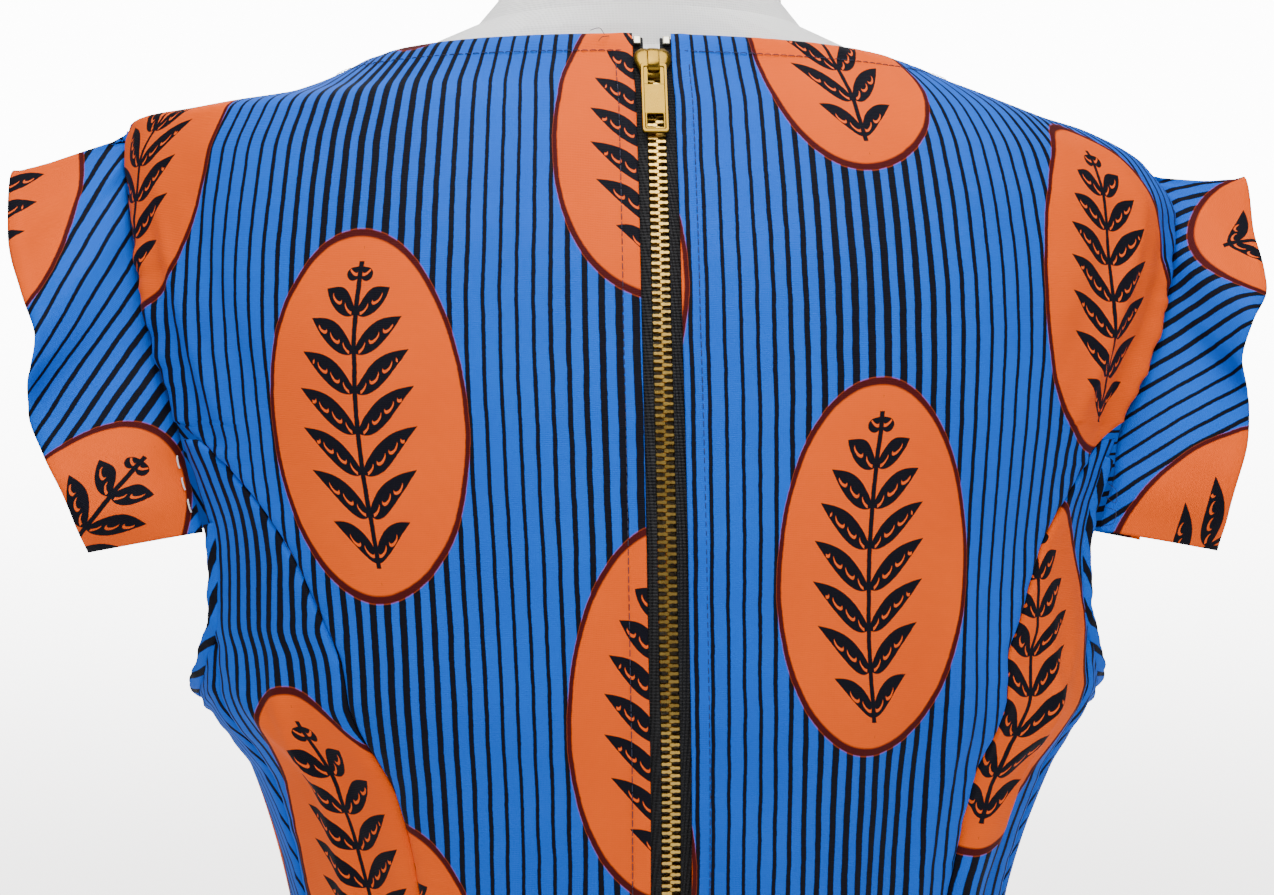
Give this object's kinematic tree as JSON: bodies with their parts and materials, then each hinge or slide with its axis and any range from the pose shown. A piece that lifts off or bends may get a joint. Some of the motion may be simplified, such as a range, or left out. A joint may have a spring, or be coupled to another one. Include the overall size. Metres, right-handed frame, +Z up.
{
  "type": "ankara wax print dress on dress form",
  "caption": "Fitted knee-length wax print dress with flutter cap sleeves, round neck and exposed back zip, worn by a limbless dress form on a round stand.",
  "frame": {"origin": "on the floor under the middle of the stand's base", "axes": "+Z up; the wearer faces -Y, so the back and its zip face +Y; +X to the wearer's left"},
  "size_m": [0.4551, 0.38, 1.4663],
  "materials": {
    "wax_print": "plain-weave cotton, blue with black stripes and orange ovals, matte with a faint sheen",
    "binding_cloth": "plain-weave cotton, blue, puckered",
    "zip_tape": "black woven tape, matte",
    "gold_metal": "bright gold plated",
    "white_jersey": "white knit cover, matte",
    "white_metal": "white paint, satin",
    "pale_wood": "pale wood, satin"
  },
  "bodies": {
    "dress_on_form": {"back_centre_left": "wax_print", "back_centre_right": "wax_print", "back_side_left": "wax_print", "back_side_right": "wax_print", "front": "wax_print", "sleeve_left": "wax_print", "sleeve_right": "wax_print", "armhole_binding_left": "binding_cloth", "armhole_binding_right": "binding_cloth", "zip_tape_left": "zip_tape", "zip_tape_right": "zip_tape", "zip_chain": "gold_metal", "zip_slider": "gold_metal", "zip_stop_left": "gold_metal", "zip_stop_right": "gold_metal", "form_torso": "white_jersey", "form_cap": "pale_wood", "form_pole": "white_metal", "form_base": "white_metal"},
    "pull": {"zip_pull": "gold_metal"}
  },
  "joints": [
    {"name": "pull_swing", "type": "hinge", "parent": "dress_on_form", "child": "pull", "pos_m": [-0.00101, 0.06431, 1.36755], "axis": [1, 0, 0], "range_deg": [0, 150]}
  ]
}
